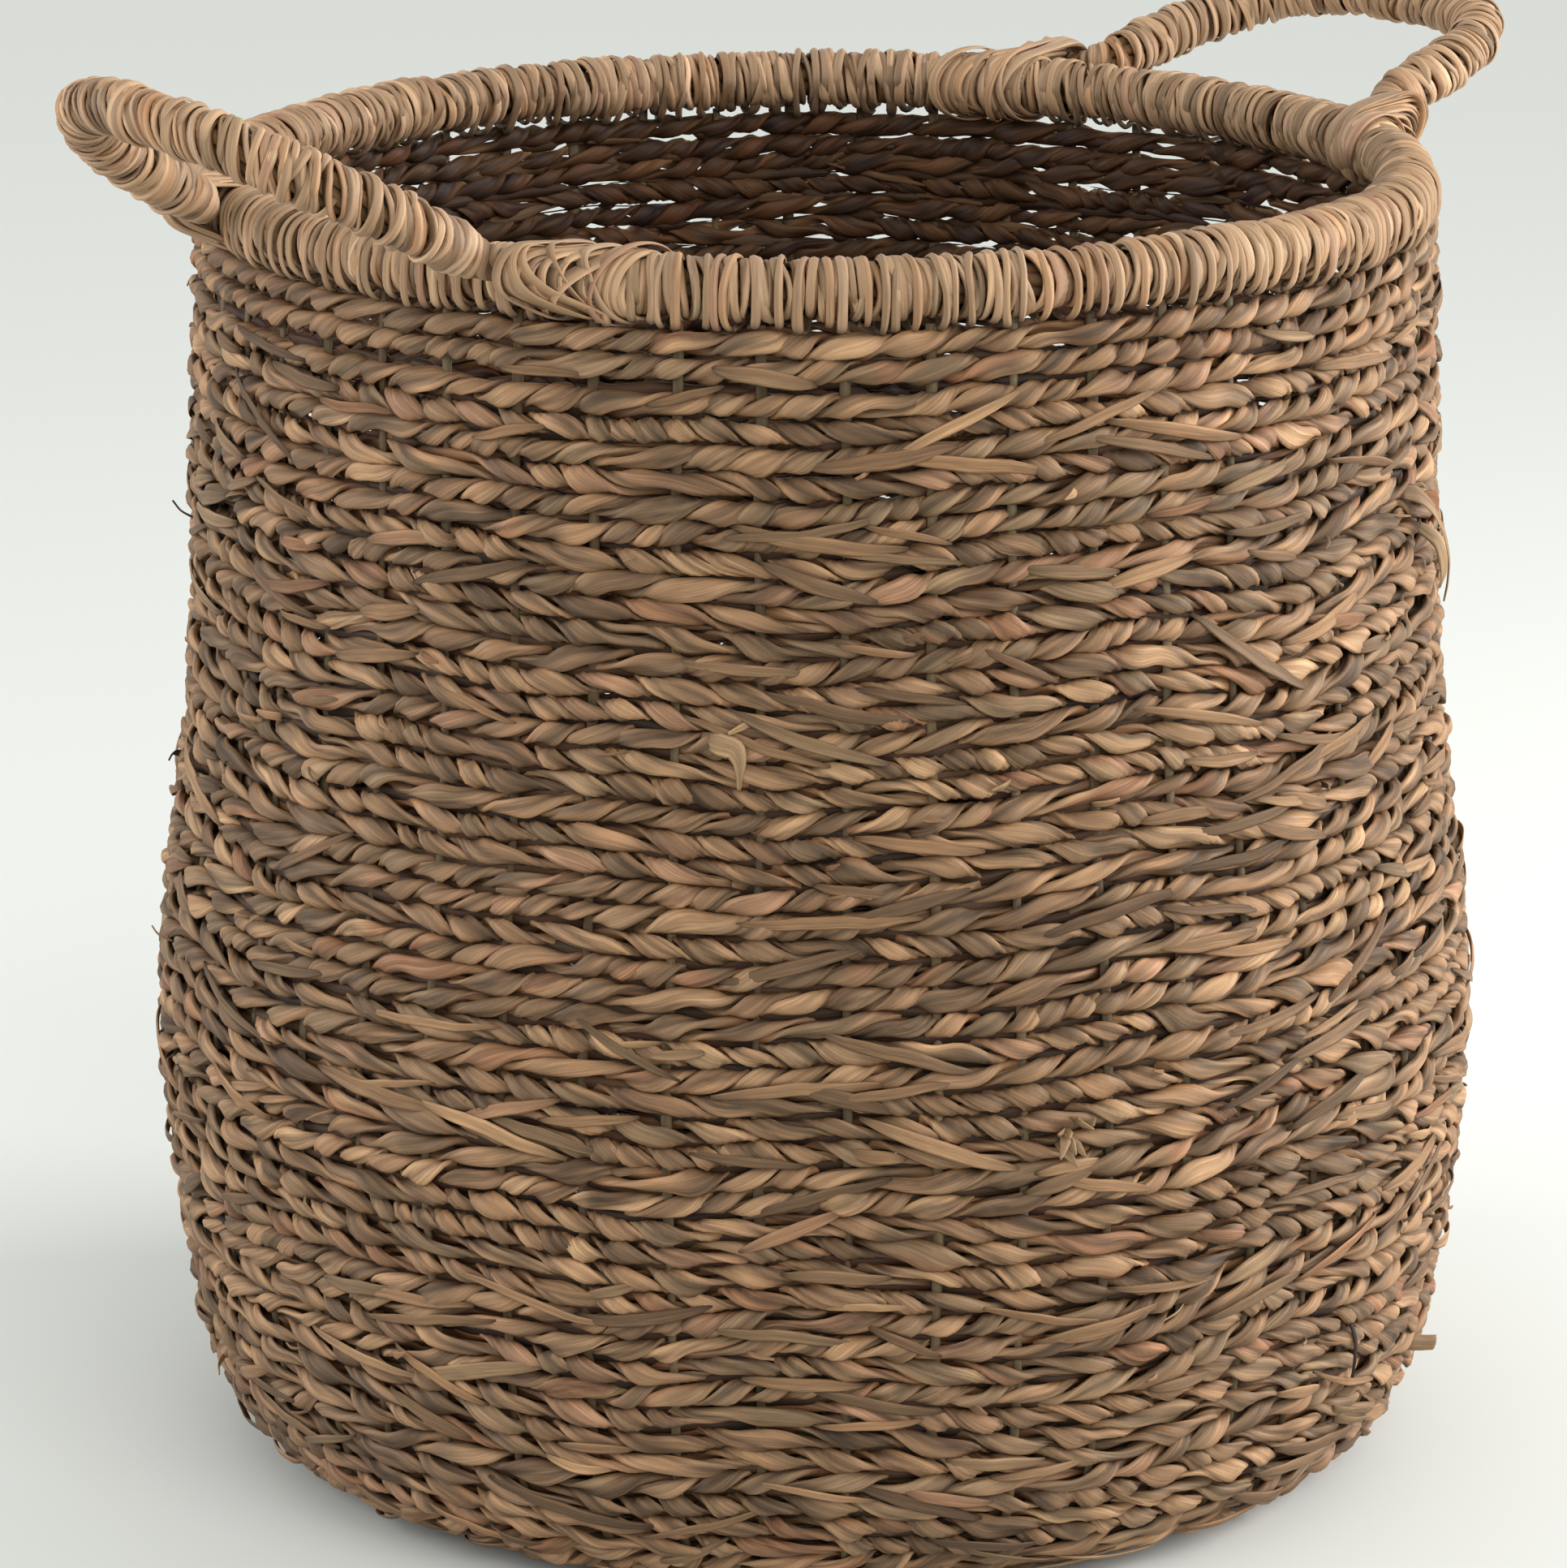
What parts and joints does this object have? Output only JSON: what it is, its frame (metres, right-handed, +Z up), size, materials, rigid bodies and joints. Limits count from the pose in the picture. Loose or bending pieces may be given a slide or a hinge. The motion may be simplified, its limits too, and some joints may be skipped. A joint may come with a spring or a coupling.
{
  "type": "woven storage basket",
  "caption": "Round seagrass storage basket with a bellied twined wall, flat woven base, leaf-wrapped rim and opposed wrapped loop handles lashed to it.",
  "frame": {"origin": "middle of the underside of the base, on the floor", "axes": "+Z up along the basket's axis; +X towards the right handle and -X towards the left handle; +Y to the back"},
  "size_m": [0.5341, 0.4012, 0.4418],
  "materials": {
    "seagrass_weave": "matt dried seagrass, two-strand twine",
    "seagrass_inside": "matt dried seagrass, two-strand twine",
    "stake": "flat greyish dried stem",
    "core": "bundled dried stems",
    "leaf_wrap": "satin dried leaf, tightly wrapped",
    "leaf_band": "flat satin dried leaf"
  },
  "bodies": {
    "basket": {"base_centre": "seagrass_weave", "base_weave_under": "seagrass_weave", "base_weave_upper": "seagrass_inside", "long_stakes": "stake", "short_stakes": "stake", "wall_weave_outer": "seagrass_weave", "wall_weave_inner": "seagrass_inside", "rim_core": "core", "rim_wrap": "leaf_wrap", "lashing_right_front": "leaf_band", "lashing_right_back": "leaf_band", "lashing_left_front": "leaf_band", "lashing_left_back": "leaf_band"},
    "handle_right": {"handle_core_right": "core", "handle_wrap_right": "leaf_wrap"},
    "handle_left": {"handle_core_left": "core", "handle_wrap_left": "leaf_wrap"}
  },
  "joints": [
    {"name": "handle_right_swing", "type": "hinge", "parent": "basket", "child": "handle_right", "pos_m": [0.18271, 0, 0.39371], "axis": [0, -1, 0], "range_deg": [-54, 86]},
    {"name": "handle_left_swing", "type": "hinge", "parent": "basket", "child": "handle_left", "pos_m": [-0.18271, 0, 0.39371], "axis": [0, 1, 0], "range_deg": [-69, 71]}
  ]
}
